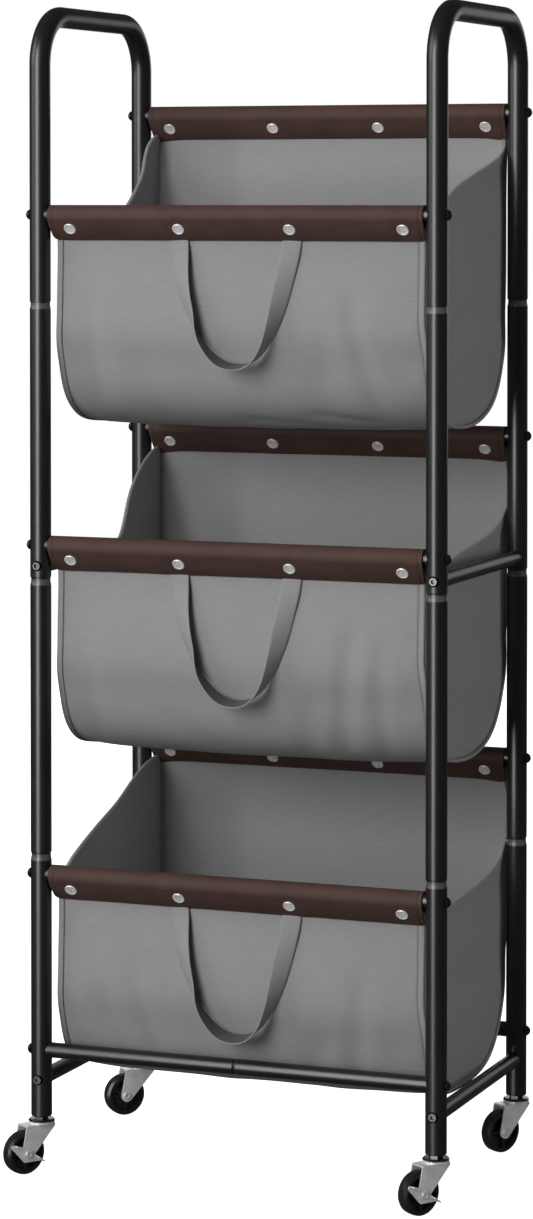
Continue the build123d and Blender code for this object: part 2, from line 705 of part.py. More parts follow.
for leg_level in range(3):
    for leg_row in ROWS:
        for leg_side in SIDES:
            make_leg(leg_row, leg_side, leg_level)

for bar_level in SIDE_BAR_Z:
    for bar_side in SIDES:
        make_side_bar(bar_side, bar_level)

for bar_row in ROWS:
    for bar_side in SIDES:
        make_bottom_bar(bar_row, bar_side)

for bag_tier in TIER_FRONT_Z:
    make_bag(bag_tier)
    make_strap(bag_tier)
    for rail_row in ROWS:
        make_bag_rail(bag_tier, rail_row)
        make_sleeve(bag_tier, rail_row)

make_rail_screws()
make_side_bar_bolts()
make_bar_end_inserts()
make_snaps()
make_foot_plugs()
make_caster_stems()

for caster_row, caster_side in CASTER_TURN:
    make_fork(caster_row, caster_side)
    make_wheel(caster_row, caster_side)
    make_axle(caster_row, caster_side)

for brake_side in SIDES:
    make_brake_rocker(brake_side)
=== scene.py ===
"""Three-tier laundry sorter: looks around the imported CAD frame."""

import json
from math import cos, pi, radians, sin

import bpy
import numpy as np
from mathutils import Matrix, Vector


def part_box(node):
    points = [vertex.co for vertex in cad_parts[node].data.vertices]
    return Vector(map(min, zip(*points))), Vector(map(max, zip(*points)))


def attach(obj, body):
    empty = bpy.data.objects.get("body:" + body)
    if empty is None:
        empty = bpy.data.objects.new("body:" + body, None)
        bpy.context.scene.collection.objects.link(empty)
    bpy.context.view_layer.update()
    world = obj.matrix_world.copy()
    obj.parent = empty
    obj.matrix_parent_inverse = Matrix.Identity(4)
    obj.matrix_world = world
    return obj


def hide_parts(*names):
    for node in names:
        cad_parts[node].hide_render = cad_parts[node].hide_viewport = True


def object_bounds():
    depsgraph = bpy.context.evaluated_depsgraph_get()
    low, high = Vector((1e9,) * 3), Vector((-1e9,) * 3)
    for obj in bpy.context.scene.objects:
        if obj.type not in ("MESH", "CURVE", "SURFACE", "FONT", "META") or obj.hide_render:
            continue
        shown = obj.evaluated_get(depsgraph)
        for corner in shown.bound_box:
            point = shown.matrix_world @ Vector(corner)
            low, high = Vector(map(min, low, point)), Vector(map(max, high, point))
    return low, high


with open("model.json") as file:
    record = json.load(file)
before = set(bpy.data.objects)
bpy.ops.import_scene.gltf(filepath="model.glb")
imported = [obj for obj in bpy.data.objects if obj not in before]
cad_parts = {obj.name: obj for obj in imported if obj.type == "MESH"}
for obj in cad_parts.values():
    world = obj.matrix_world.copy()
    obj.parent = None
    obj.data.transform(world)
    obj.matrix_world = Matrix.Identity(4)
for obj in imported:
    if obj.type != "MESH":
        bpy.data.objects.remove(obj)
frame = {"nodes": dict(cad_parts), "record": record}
cad_low, cad_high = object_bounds()
nodes = frame["nodes"]
TIERS = ("top", "middle", "bottom")
MM = 0.001

# ---------------------------------------------------------------- places, in mm


def middle_of(node):
    """Middle of a CAD node's box, in millimetres."""
    low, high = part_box(node)
    return (low + high) / 2 / MM


RAIL = {(t, r): middle_of(f"bag_rail_{t}_{r}") for t in TIERS for r in ("front", "rear")}
CENTRE_X = RAIL["top", "front"].x
RISE = RAIL["top", "rear"].z - RAIL["top", "front"].z
sleeve_low, sleeve_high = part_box("sleeve_top_front")
SLEEVE_HALF = (sleeve_high.x - sleeve_low.x) / 2 / MM
SLEEVE_DROP = RAIL["top", "front"].z - sleeve_low.z / MM
SLEEVE_R = sleeve_high.z / MM - RAIL["top", "front"].z

# ---------------------------------------------------------------- curves and meshes

SPAN_STEPS = 24     # points worked out on each span of a B-spline, before they are spaced evenly


def lengths(line):
    """Distance along a line of points, at each point."""
    return np.concatenate([[0], np.cumsum(np.linalg.norm(np.diff(line, axis=0), axis=1))])


def bspline(points, count):
    """Evenly spaced points on the uniform cubic B-spline of some control points, ends included."""
    p = np.array(points, float)
    p = np.vstack([2 * p[0] - p[1], p, 2 * p[-1] - p[-2]])
    t = np.linspace(0, 1, SPAN_STEPS, endpoint=False)[:, None]
    dense = []
    for i in range(len(p) - 3):
        a, b, c, d = p[i : i + 4]
        dense.append(((1 - t) ** 3 * a + (3 * t**3 - 6 * t**2 + 4) * b
                      + (-3 * t**3 + 3 * t**2 + 3 * t + 1) * c + t**3 * d) / 6)
    dense.append(((p[-3] + 4 * p[-2] + p[-1]) / 6)[None, :])
    dense = np.vstack(dense)
    along = lengths(dense)
    at = np.linspace(0, along[-1], count)
    return np.stack([np.interp(at, along, dense[:, k]) for k in range(p.shape[1])], axis=1)


def smooth_step(x):
    """0 below 0, 1 above 1, and a smooth rise between."""
    x = np.clip(x, 0, 1)
    return x * x * (3 - 2 * x)


def grid_normals(grid):
    """Unit normals of a grid of points."""
    du = np.gradient(grid, axis=0)
    dv = np.gradient(grid, axis=1)
    n = np.cross(du, dv)
    return n / np.maximum(np.linalg.norm(n, axis=2, keepdims=True), 1e-9)


def make_object(name, points, faces, material, uvs=None, smooth=True):
    """A mesh from points in millimetres."""
    mesh = bpy.data.meshes.new(name)
    mesh.from_pydata((np.asarray(points, float) * MM).tolist(), [], [tuple(f) for f in faces])
    if uvs is not None:
        layer = mesh.uv_layers.new(name="cloth")
        index = np.zeros(len(mesh.loops), np.int32)
        mesh.loops.foreach_get("vertex_index", index)
        corners = np.asarray(uvs, float)[index] * MM
        layer.data.foreach_set("uv", corners.astype(np.float32).ravel())
    mesh.polygons.foreach_set("use_smooth", [smooth] * len(mesh.polygons))
    mesh.materials.append(material)
    mesh.update()
    obj = bpy.data.objects.new(name, mesh)
    bpy.context.scene.collection.objects.link(obj)
    return obj


ROUND_EDGE = 0.45   # how far a sheet's rounded edge stands out, as a share of its thickness


def shell(grid, thick, uv):
    """Points, faces and UVs of a closed sheet around a grid of mid-surface points."""
    n, m = grid.shape[:2]
    normal = grid_normals(grid)
    half = (np.broadcast_to(thick, (n, m)) / 2)[:, :, None]
    front, back = grid + normal * half, grid - normal * half
    points = [front.reshape(-1, 3), back.reshape(-1, 3)]
    uvs = [uv.reshape(-1, 2), uv.reshape(-1, 2)]
    k = np.arange(n * m).reshape(n, m)
    quads = np.stack([k[:-1, :-1], k[1:, :-1], k[1:, 1:], k[:-1, 1:]], axis=-1).reshape(-1, 4)
    faces = [quads, quads[:, ::-1] + n * m]
    ring = np.concatenate([k[:-1, 0], k[-1, :-1], k[:0:-1, -1], k[0, :0:-1]])
    inner = np.concatenate([k[:-1, 1], k[-2, :-1], k[:0:-1, -2], k[1, :0:-1]])
    flat = grid.reshape(-1, 3)
    out = flat[ring] - flat[inner]
    out /= np.maximum(np.linalg.norm(out, axis=1, keepdims=True), 1e-9)
    width = np.broadcast_to(thick, (n, m)).reshape(-1)[ring][:, None]
    points.append(flat[ring] + out * width * ROUND_EDGE)
    uvs.append(uv.reshape(-1, 2)[ring])
    edge = 2 * n * m + np.arange(len(ring))
    nxt = np.roll(np.arange(len(ring)), -1)
    faces.append(np.stack([ring[nxt], ring, edge, edge[nxt]], axis=1))
    faces.append(np.stack([edge[nxt], edge, ring + n * m, ring[nxt] + n * m], axis=1))
    return np.vstack(points), np.vstack(faces), np.vstack(uvs)


# ---------------------------------------------------------------- materials


def srgb(hex_code):
    """Linear RGBA of a colour written as RRGGBB."""
    c = [int(hex_code[i : i + 2], 16) / 255 for i in (0, 2, 4)]
    return [x / 12.92 if x <= 0.04045 else ((x + 0.055) / 1.055) ** 2.4 for x in c] + [1.0]


class Nodes:
    """Small helper for building one material's node tree."""

    def __init__(self, name, **values):
        self.material = bpy.data.materials.new(name)
        self.material.use_nodes = True
        self.tree = self.material.node_tree
        self.tree.nodes.clear()
        self.shader = self.tree.nodes.new("ShaderNodeBsdfPrincipled")
        out = self.tree.nodes.new("ShaderNodeOutputMaterial")
        self.link(self.shader.outputs[0], out.inputs[0])
        for key, value in values.items():
            self.shader.inputs[key.replace("_", " ")].default_value = value

    def link(self, a, b):
        self.tree.links.new(a, b)

    def node(self, kind, **settings):
        """A new shader node, with some of its settings."""
        n = self.tree.nodes.new("ShaderNode" + kind)
        for key, value in settings.items():
            setattr(n, key, value)
        return n

    def feed(self, socket, value):
        """Put a number or another node's output into a socket."""
        if hasattr(value, "is_output"):
            self.link(value, socket)
        else:
            socket.default_value = value

    def coords(self, scale=(1, 1, 1), uv=False):
        """Object coordinates, or places on the flat cloth, in metres."""
        if uv:
            source = self.node("UVMap", uv_map="cloth").outputs[0]
        else:
            source = self.node("TexCoord").outputs["Object"]
        mapping = self.node("Mapping")
        mapping.inputs["Scale"].default_value = scale
        self.link(source, mapping.inputs[0])
        return mapping.outputs[0]

    def noise(self, vector, scale, detail=3.0, rough=0.5):
        n = self.node("TexNoise")
        self.link(vector, n.inputs["Vector"])
        n.inputs["Scale"].default_value = scale
        n.inputs["Detail"].default_value = detail
        n.inputs["Roughness"].default_value = rough
        return n.outputs["Fac"]

    def math(self, operation, a, b=0.0):
        n = self.node("Math", operation=operation)
        self.feed(n.inputs[0], a)
        self.feed(n.inputs[1], b)
        return n.outputs[0]

    def wave(self, vector, scale, direction="X"):
        """Straight bands across one axis."""
        n = self.node("TexWave", wave_type="BANDS", bands_direction=direction,
                      wave_profile="SIN")
        self.link(vector, n.inputs["Vector"])
        n.inputs["Scale"].default_value = scale
        n.inputs["Distortion"].default_value = 0.0
        return n.outputs["Fac"]

    def ramp(self, value, low, high, start=0.0, end=1.0):
        """The value as a colour between two."""
        n = self.node("ValToRGB")
        n.color_ramp.elements[0].position = start
        n.color_ramp.elements[1].position = end
        n.color_ramp.elements[0].color = low
        n.color_ramp.elements[1].color = high
        self.link(value, n.inputs[0])
        return n.outputs[0]

    def spread(self, value, low, high):
        """The value, from 0 to 1, moved to the range from low to high."""
        n = self.node("MapRange")
        self.link(value, n.inputs["Value"])
        n.inputs["To Min"].default_value = low
        n.inputs["To Max"].default_value = high
        return n.outputs[0]

    def bump(self, height, strength, distance, before=None):
        n = self.node("Bump")
        n.inputs["Strength"].default_value = strength
        n.inputs["Distance"].default_value = distance
        self.link(height, n.inputs["Height"])
        if before is not None:
            self.link(before, n.inputs["Normal"])
        return n.outputs[0]

    def finish(self, color=None, roughness=None, normal=None):
        """Connect the shader's inputs and hand the material over."""
        if color is not None:
            self.link(color, self.shader.inputs["Base Color"])
        if roughness is not None:
            self.link(roughness, self.shader.inputs["Roughness"])
        if normal is not None:
            self.link(normal, self.shader.inputs["Normal"])
        return self.material


def shade(hex_code, factor):
    """A colour made darker or lighter."""
    c = srgb(hex_code)
    return [min(1, x * factor) for x in c[:3]] + [1.0]


def fabric_material(name, base, pitch=0.85):
    """Oxford weave: fine crossed threads, with long faint slubs across the cloth."""
    m = Nodes(name, Specular_IOR_Level=0.22, Sheen_Weight=0.08, Sheen_Roughness=0.5)
    threads = m.coords(uv=True)
    bands = 2 * pi / (20 * pitch * MM)      # the wave texture has 20 / (2 pi) bands to a unit
    across = m.wave(threads, bands, "X")
    along = m.wave(threads, bands, "Y")
    weave = m.math("ADD", m.math("MULTIPLY", across, m.math("SUBTRACT", 1.0, along)),
                   m.math("MULTIPLY", along, m.math("SUBTRACT", 1.0, across)))
    slubs = m.noise(m.coords((45, 1100, 1), uv=True), 1.0, 4.0, 0.6)
    warp = m.noise(m.coords((700, 24, 1), uv=True), 1.0, 3.0, 0.6)
    cloud = m.noise(m.coords(), 9.0, 3.0)
    tone = m.math("ADD", m.math("MULTIPLY", slubs, 0.6), m.math("MULTIPLY", warp, 0.1))
    tone = m.math("ADD", tone, m.math("MULTIPLY", cloud, 0.15))
    tone = m.math("ADD", tone, m.math("MULTIPLY", weave, 0.15))
    color = m.ramp(tone, shade(base, 0.86), shade(base, 1.14), 0.28, 0.72)
    rough = m.spread(slubs, 0.78, 0.92)
    normal = m.bump(slubs, 0.25, 0.00012)
    normal = m.bump(weave, 0.35, 0.00018, normal)
    return m.finish(color, rough, normal)


def leather_material(name, base):
    """Smooth leatherette: fine pebble grain and a soft sheen."""
    m = Nodes(name, Specular_IOR_Level=0.25)
    at = m.coords()
    cells = m.node("TexVoronoi", feature="DISTANCE_TO_EDGE")
    m.link(at, cells.inputs["Vector"])
    cells.inputs["Scale"].default_value = 1300.0
    grain = m.math("MINIMUM", cells.outputs["Distance"], 0.25)
    cloud = m.noise(at, 40.0, 4.0)
    fine = m.noise(at, 900.0, 2.0)
    color = m.ramp(m.math("ADD", m.math("MULTIPLY", cloud, 0.7), m.math("MULTIPLY", fine, 0.3)),
                   shade(base, 0.82), shade(base, 1.18), 0.3, 0.7)
    rough = m.spread(cloud, 0.62, 0.75)
    normal = m.bump(grain, 0.25, 0.00012)
    normal = m.bump(fine, 0.12, 0.0001, normal)
    return m.finish(color, rough, normal)


def paint_material(name, base, low, high, peel=0.06, highlight_rings=()):
    """Powder coat: faint orange peel and uneven gloss, and a painted highlight band at some
    heights.
    """
    m = Nodes(name, Specular_IOR_Level=0.75)
    at = m.coords()
    fine = m.noise(at, 1400.0, 2.0)
    cloud = m.noise(at, 22.0, 4.0)
    color = m.ramp(cloud, shade(base, 0.85), shade(base, 1.2), 0.3, 0.7)
    uneven = m.math("ADD", m.math("MULTIPLY", fine, 0.4), m.math("MULTIPLY", cloud, 0.6))
    rough = m.spread(uneven, low, high)
    if highlight_rings:
        split = m.node("SeparateXYZ")
        m.link(m.node("TexCoord").outputs["Object"], split.inputs[0])
        painted_highlight = None
        for height, half in highlight_rings:
            near = m.math("COMPARE", split.outputs["Z"], height)
            near.node.inputs[2].default_value = half
            painted_highlight = near if painted_highlight is None else m.math("ADD", painted_highlight, near)
        # The lighter grey mixed in at these heights is a painted highlight band.
        mix_color = m.node("Mix", data_type="RGBA")
        m.link(painted_highlight, mix_color.inputs[0])
        m.link(color, mix_color.inputs[6])
        mix_color.inputs[7].default_value = srgb("505050")
        color = mix_color.outputs[2]
    return m.finish(color, rough, m.bump(fine, peel, 0.0001))


def metal_material(name, base, low, high, brush=(1, 1, 1), metallic=1.0, grain=260.0):
    """Plated or brushed metal with uneven roughness and fine marks."""
    m = Nodes(name, Metallic=metallic)
    marks = m.noise(m.coords(brush), grain, 4.0, 0.6)
    cloud = m.noise(m.coords(), 60.0, 3.0)
    color = m.ramp(cloud, shade(base, 0.86), shade(base, 1.12), 0.3, 0.7)
    rough = m.spread(marks, low, high)
    return m.finish(color, rough, m.bump(marks, 0.10, 0.00008))


def plastic_material(name, base, low, high):
    """Moulded plastic with a faint texture."""
    m = Nodes(name, Specular_IOR_Level=0.5)
    at = m.coords()
    fine = m.noise(at, 800.0, 3.0)
    cloud = m.noise(at, 45.0, 3.0)
    color = m.ramp(cloud, shade(base, 0.8), shade(base, 1.3), 0.3, 0.7)
    return m.finish(color, m.spread(cloud, low, high), m.bump(fine, 0.12, 0.0001))


# Bands of lighter grey on the black paint just below the joints: a painted highlight on each swaged
# ring.
JOINTS = ("leg_middle_front_left", "leg_upper_front_left", "push_handle_left")
RING_DOWN = 0.0045      # middle of the swaged ring below a joint, in metres
RING_HALF = 0.0031
HIGHLIGHT_RINGS = [(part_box(node)[0].z - RING_DOWN, RING_HALF) for node in JOINTS]

MATERIAL = {
    "frame_tube": paint_material("frame_black", "161616", 0.31, 0.38, highlight_rings=HIGHLIGHT_RINGS),
    "leatherette": leather_material("leatherette_brown", "49352F"),
    "bag_fabric": fabric_material("oxford_grey", "939393"),
    "strap_webbing": fabric_material("webbing_grey", "929292", pitch=1.3),
    "black_screw": paint_material("screw_black", "101010", 0.22, 0.32, peel=0.02),
    "steel_bolt": metal_material("bolt_steel", "5E5E5E", 0.3, 0.42),
    "insert_steel": metal_material("insert_steel", "9A9A9A", 0.35, 0.5),
    "snap_metal": metal_material("snap_nickel", "FAF8F4", 0.22, 0.34, metallic=0.35),
    "black_plastic": plastic_material("plug_black", "141414", 0.4, 0.55),
    "zinc_steel": metal_material("zinc_plate", "EAEAEA", 0.26, 0.4, brush=(1, 1, 0.25),
                                 metallic=0.3),
    "axle_steel": metal_material("axle_steel", "E2E2E2", 0.2, 0.32, metallic=0.4),
    "wheel_plastic": plastic_material("wheel_black", "1E1E1E", 0.26, 0.38),
}
THREAD_GREY = fabric_material("thread_grey", "626262", pitch=0.5)
THREAD_BROWN = leather_material("thread_brown", "2A201D")
# The back of each strap is painted a darker grey: painted shade for the face that lies in shade
# against the bag.
WEBBING_PAINTED_SHADE = fabric_material("webbing_back_painted_shade", "4C4C4C", pitch=1.3)

for part in frame["record"]["subparts"]:
    part_slots = nodes[part["node"]].data.materials
    part_slots.clear()
    part_slots.append(MATERIAL[part["material_slot"]])
nodes["caster_stems"].data.materials[0] = metal_material("stem_polished", "6C6C6C", 0.18, 0.28)

# ---------------------------------------------------------------- bags

SEAM_X = 195.6      # from the centre line to where a side panel meets the strip
EDGE_X = 201.4      # and to the outer edge of the sewn flange
REAR_WIDER = 4.4    # how much further out the seam runs at the rear
CLOTH = 1.7         # thickness of one layer
FLANGE = 3.2        # thickness of the sewn flange
HEM = 3.8           # thickness of a side panel's turned top edge
HEM_WIDTH = 7.5
HEM_STITCH = 6.8    # from a hem's edge down to its stitches
STITCH_PITCH = 3.4

# Line that the seam follows in side view, from the front rail's axis: (back, up).
SEAM_FRONT = [
    (10, -14), (10, -26), (11.2, -38), (9.8, -60), (8.8, -84), (8, -104), (8.6, -120), (12, -134),
    (16.6, -146), (20.2, -157), (23.6, -168), (27.8, -178), (33.8, -188), (43, -198), (56, -206.5),
]
SEAM_REAR = {
    "top": [
        (73, -213.5), (97, -218), (128, -220), (158, -219.5), (190, -214), (216, -204), (236, -188),
        (250, -166), (261, -138), (268, -108), (271, -70), (271, -20), (271, 36), (275, 68),
        (277, 82), (277, 94),
    ],
    "middle": [
        (73, -213), (97, -217.5), (128, -220.5), (158, -221), (190, -216), (216, -207), (238, -190),
        (255, -165), (267, -136), (274, -108), (277, -70), (276, -20), (275, 36), (276, 68),
        (277, 82), (277, 94),
    ],
    "bottom": [
        (73, -211), (97, -213.5), (128, -214.5), (158, -214.5), (190, -211.5), (216, -203),
        (238, -186), (255, -160), (267, -128), (275, -98), (277, -60), (277, -18), (276, 36),
        (277, 68), (277, 82), (277, 94),
    ],
}
# Top edges of the side panels: (back, up, outwards).
PANEL_EDGE = {
    ("top", "left"): [
        (13.6, -24, 0), (40, -29, 0), (90, -25, 0), (135, -14, 1), (168, -1, 3), (190, 12, 2),
        (208, 28, 0), (222, 38, 0), (230, 50, 0), (234, 64, 0), (243, 75, 0), (257, 84, 0),
        (274, 87, 0),
    ],
    ("top", "right"): [
        (13.6, -20, 0), (30, -14, 0), (60, 2, 0), (100, 20, 0), (126, 29, 0), (165, 38, 0),
        (205, 48, 0), (246, 58, 1), (268, 67, 2), (274, 80, 1),
    ],
    ("middle", "left"): [
        (13.6, -24, 0), (45, -28, 0), (90, -25, 0), (128, -19, 0), (153, -7, 0), (165, 5, 0),
        (174, 21, 0), (184, 39, 0), (203, 56, 0), (231, 73, 0), (257, 84, 0), (274, 87, 0),
    ],
    ("middle", "right"): [
        (13.6, -22, 0), (60, -19, 0), (121, -9, 0), (178, -2, 0), (213, 3, 0), (243, 12, 2),
        (262, 24, 4), (271, 42, 7), (274, 60, 7.5), (276, 78, 3),
    ],
    ("bottom", "left"): [
        (13.6, 4, 0), (24, 12, 0), (55, 24, 0), (105, 41, 0), (151, 54, 0), (187, 69, 0),
        (216, 78, 0), (244, 85, 0), (262, 87, 0), (274, 87, 0),
    ],
    ("bottom", "right"): [
        (13.6, -24, 0), (60, -27, 0), (116, -24, 0), (179, -19, 0), (226, -11, 1), (252, 2, 3.5),
        (267, 24, 6.5), (273, 48, 8), (275, 66, 6), (276, 80, 2),
    ],
}
FOLD_DEPTH = 2.5
# Soft folds in the strip: (x, distance along, x, distance along, half width, depth).
FOLDS = {
    "top": [
        (-168, 60, -160, 200, 15, 1.6), (120, 60, 150, 210, 12, 1.3), (96, 80, 92, 170, 14, 0.7),
        (60, 196, 140, 214, 9, 0.9), (-20, 210, 60, 220, 9, 0.7), (-110, 120, -96, 220, 20, 0.8),
    ],
    "middle": [
        (-172, 70, -164, 210, 14, 1.3), (128, 50, 104, 215, 13, 1.5), (158, 60, 150, 220, 12, 1.2),
        (84, 120, 60, 220, 14, 0.8), (-90, 150, -30, 214, 14, 0.8),
    ],
    "bottom": [
        (-160, 90, -120, 210, 16, 1.5), (-120, 60, -88, 190, 13, 1.3), (140, 60, 120, 210, 14, 1.3),
        (96, 130, 60, 214, 14, 0.9), (-60, 170, 0, 214, 12, 0.7),
    ],
}
SIDE_SIGN = {"left": -1, "right": 1}
BOTTOM_SAG = {"top": 2.6, "middle": 3.4, "bottom": 0.8}


def seam_spread(z):
    """How far the seams move out where the bag fills out, at a height."""
    return 3.0 * smooth_step((-z - 100) / 50)


def seam_x(back):
    """Half width between the two seams: wider towards the rear."""
    return SEAM_X + REAR_WIDER * smooth_step((back - 130) / 125)


def ridge(x, s, fold):
    """Height of one soft fold: a valley along a line with low shoulders, faded at its ends."""
    x0, s0, x1, s1, width, depth = fold
    ax, as_ = x1 - x0, s1 - s0
    t = ((x - x0) * ax + (s - s0) * as_) / (ax * ax + as_ * as_)
    near = np.clip(t, 0, 1)
    d = np.hypot(x - x0 - near * ax, s - s0 - near * as_)
    fade = smooth_step(t / 0.3 + 0.2) * smooth_step((1 - t) / 0.3 + 0.2)
    valley = np.exp(-(d / width) ** 2)
    shoulder = np.exp(-(d / width / 2.2) ** 2)
    return -FOLD_DEPTH * depth * fade * (valley - 0.35 * shoulder)


def ripple(x, s, seed):
    """Low, slow unevenness of hanging cloth."""
    r = np.random.default_rng(seed)
    total = np.zeros(np.broadcast(x, s).shape)
    for _ in range(7):
        wx, ws = r.uniform(60, 170), r.uniform(90, 240)
        a, b = r.uniform(0, 2 * pi, 2)
        total = total + np.sin(2 * pi * x / wx + a) * np.sin(2 * pi * s / ws + b)
    return total / 7


def strip_grid(tier):
    """Mid-surface of the cloth that runs down the front, along the bottom and up the rear.

    Rows follow the seam and columns run across. Also returns the thickness, the flat places
    (across, along), the seam's line and the distance along it.
    """
    seam = bspline(SEAM_FRONT + SEAM_REAR[tier], 200)
    s = lengths(seam)
    direction = np.gradient(seam, axis=0)
    direction /= np.linalg.norm(direction, axis=1, keepdims=True)
    out = np.stack([direction[:, 1], -direction[:, 0]], axis=1)
    inside = np.concatenate([np.linspace(0, 0.9, 38)[:-1], np.linspace(0.9, 1, 22)])
    inside = np.concatenate([-inside[:0:-1], inside]) * SEAM_X
    steps = np.array([0.6, 1.2, 1.9, 2.8, 3.8, 5.0, EDGE_X - SEAM_X])
    flat_x = np.concatenate([-(SEAM_X + steps)[::-1], inside, SEAM_X + steps])
    x = flat_x[None, :] * np.ones((len(s), 1))
    along = s[:, None] * np.ones((1, len(flat_x)))
    z = seam[:, 1][:, None]
    wider = (seam_x(seam[:, 0]) - SEAM_X)[:, None]
    beyond = np.abs(flat_x)[None, :] - SEAM_X
    spread = (seam_spread(z) + wider) * smooth_step((np.abs(x) - 60) / (SEAM_X - 60))
    narrower = np.clip(beyond, 0, None) * 0.55 * wider / REAR_WIDER     # the flange, at the rear
    x = x + np.sign(x) * (spread - narrower)
    ends = smooth_step((along - 14) / 55) * smooth_step((s[-1] - 14 - along) / 70)
    share = np.clip(np.abs(flat_x) / SEAM_X, 0, 1)[None, :]
    crown = 1 - share**7
    front_part = np.exp(-((along - 150) / 95) ** 2)
    fullness = 1.6 + 2.6 * front_part
    offset = crown * fullness * ends
    bottom = np.exp(-((along - 300) / 90) ** 2)
    offset = offset + BOTTOM_SAG[tier] * bottom * (1 - share**2)
    for fold in FOLDS[tier]:
        offset = offset + ridge(x, along, fold) * (1 - share**10)
    seed = TIERS.index(tier) + 3
    offset = offset + 1.1 * ripple(x, along, seed) * ends * (1 - share**8)
    offset = offset - 0.8 * np.exp(-(beyond / 0.9) ** 2)
    pucker = 0.35 * np.sin(along / 9.0 + seed) * np.exp(-((np.abs(x) - SEAM_X + 5) / 7) ** 2) * ends
    offset = offset + pucker
    rail = RAIL[tier, "front"]
    y = rail.y + seam[:, 0][:, None] + out[:, 0][:, None] * offset
    zz = rail.z + seam[:, 1][:, None] + out[:, 1][:, None] * offset
    grid = np.stack([CENTRE_X + x, y, zz], axis=2)
    groove = 0.7 * np.exp(-(beyond / 0.8) ** 2)
    thick = CLOTH + (FLANGE - CLOTH) * smooth_step((beyond - 0.2) / 1.0) - groove
    return grid, np.broadcast_to(thick, x.shape), np.stack([x, along], axis=2), seam, s


def panel_grid(tier, side):
    """Mid-surface of a side panel, from hem to seam, with its thickness and (back, up) places."""
    top = bspline(PANEL_EDGE[tier, side], 90)
    inside = bspline(SEAM_FRONT + SEAM_REAR[tier], 400)
    first = np.argmin(np.abs(inside[:60, 1] + SLEEVE_DROP - 1))
    last = len(inside) - 1 - np.argmin(np.abs(inside[::-1][:60, 1] - (RISE - SLEEVE_DROP - 1)))
    path = inside[first : last + 1]
    at = lengths(path)
    even = np.linspace(0, at[-1], 90)
    low = np.stack([np.interp(even, at, path[:, k]) for k in range(2)], axis=1)
    direction = np.gradient(low, axis=0)
    direction /= np.linalg.norm(direction, axis=1, keepdims=True)
    low = low - np.stack([direction[:, 1], -direction[:, 0]], axis=1) * 0.4
    t = np.concatenate([[0, 0.012, 0.024, 0.036, 0.05], np.linspace(0.075, 0.94, 40),
                        [0.955, 0.968, 0.979, 0.989, 1]])
    t = t[None, :, None]
    yz = top[:, None, :2] * (1 - t) + low[:, None, :] * t
    share = np.broadcast_to(t[:, :, 0], yz.shape[:2])
    s_share = np.linspace(0, 1, len(top))[:, None]
    outwards = top[:, 2][:, None] * (1 - smooth_step(share * 3.2))
    outwards = outwards + seam_spread(yz[:, :, 1]) * smooth_step(share * 1.5)
    belly = np.sin(pi * np.clip(share, 0, 1)) * np.sin(pi * s_share)
    from_seam = np.linalg.norm(yz - yz[:, -1:], axis=2)
    from_top = np.linalg.norm(yz - yz[:, :1], axis=2)
    off_seam = 0.9 * (1 - np.exp(-from_seam / 6.0))
    outwards = outwards + off_seam * smooth_step(from_top / 60)
    outwards = outwards + 2.0 * belly
    seed = 20 + 2 * TIERS.index(tier) + (side == "left")
    outwards = outwards + 1.3 * ripple(yz[:, :, 0], yz[:, :, 1], seed) * belly
    x = CENTRE_X + SIDE_SIGN[side] * (seam_x(yz[:, :, 0]) + outwards)
    rail = RAIL[tier, "front"]
    grid = np.stack([x, rail.y + yz[:, :, 0], rail.z + yz[:, :, 1]], axis=2)
    thick = CLOTH + (HEM - CLOTH) * (1 - smooth_step((from_top - HEM_WIDTH) / 1.5))
    thick = thick - 0.9 * np.exp(-((from_top - 7.2) / 0.8) ** 2)
    return grid, thick, yz


# Rings of one stitch: (place along its length, share of its radius).
STITCH_RINGS = ((-0.5, 0.25), (-0.36, 0.85), (0.0, 1.0), (0.36, 0.85), (0.5, 0.25))
STITCH_SIDES = 6
STITCH_LIFT = 0.12      # how far the middle of a stitch stands above its ends


def one_stitch(at, direction, side, up, length, radius):
    """Six-sided thread stitch lying along a direction: points and faces."""
    rows = []
    for along, share in STITCH_RINGS:
        rise = STITCH_LIFT * (1 - (2 * along) ** 2)
        for k in range(STITCH_SIDES):
            a = 2 * pi * k / STITCH_SIDES
            around = (side * cos(a) + up * sin(a)) * radius * share
            rows.append(at + direction * along * length + around + up * rise)
    n = STITCH_SIDES
    faces = []
    for i in range(len(STITCH_RINGS) - 1):
        for k in range(n):
            a, b = i * n + k, i * n + (k + 1) % n
            faces.append((a, b, b + n, a + n))
    faces.append(tuple(range(n - 1, -1, -1)))
    faces.append(tuple(range(len(rows) - n, len(rows))))
    return rows, faces


def stitch_line(line, normal, pitch=STITCH_PITCH, length=2.5, radius=0.33):
    """Stitches along a line of points, on the side that normal points to."""
    at = lengths(line)
    points, faces = [], []
    count = int(at[-1] / pitch)
    for i in range(count):
        d = (i + 0.5) * pitch
        p = np.array([np.interp(d, at, line[:, k]) for k in range(3)])
        q = np.array([np.interp(d + 0.8, at, line[:, k]) for k in range(3)])
        o = np.array([np.interp(d - 0.8, at, line[:, k]) for k in range(3)])
        n = np.array([np.interp(d, at, normal[:, k]) for k in range(3)])
        direction = (q - o) / np.linalg.norm(q - o)
        n = n - direction * (n @ direction)
        n = n / np.linalg.norm(n)
        rows, f = one_stitch(p, direction, np.cross(direction, n), n, length, radius)
        start = len(points)
        points.extend(rows)
        faces.extend([tuple(k + start for k in face) for face in f])
    return points, faces


def join_stitches(name, groups, material):
    """One piece of thread from several lines of stitches."""
    points, faces = [], []
    for p, f in groups:
        start = len(points)
        points.extend(p)
        faces.extend([tuple(k + start for k in face) for face in f])
    points = np.array(points)
    obj = make_object(name, points, faces, material, points[:, [0, 2]])
    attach(obj, "frame")


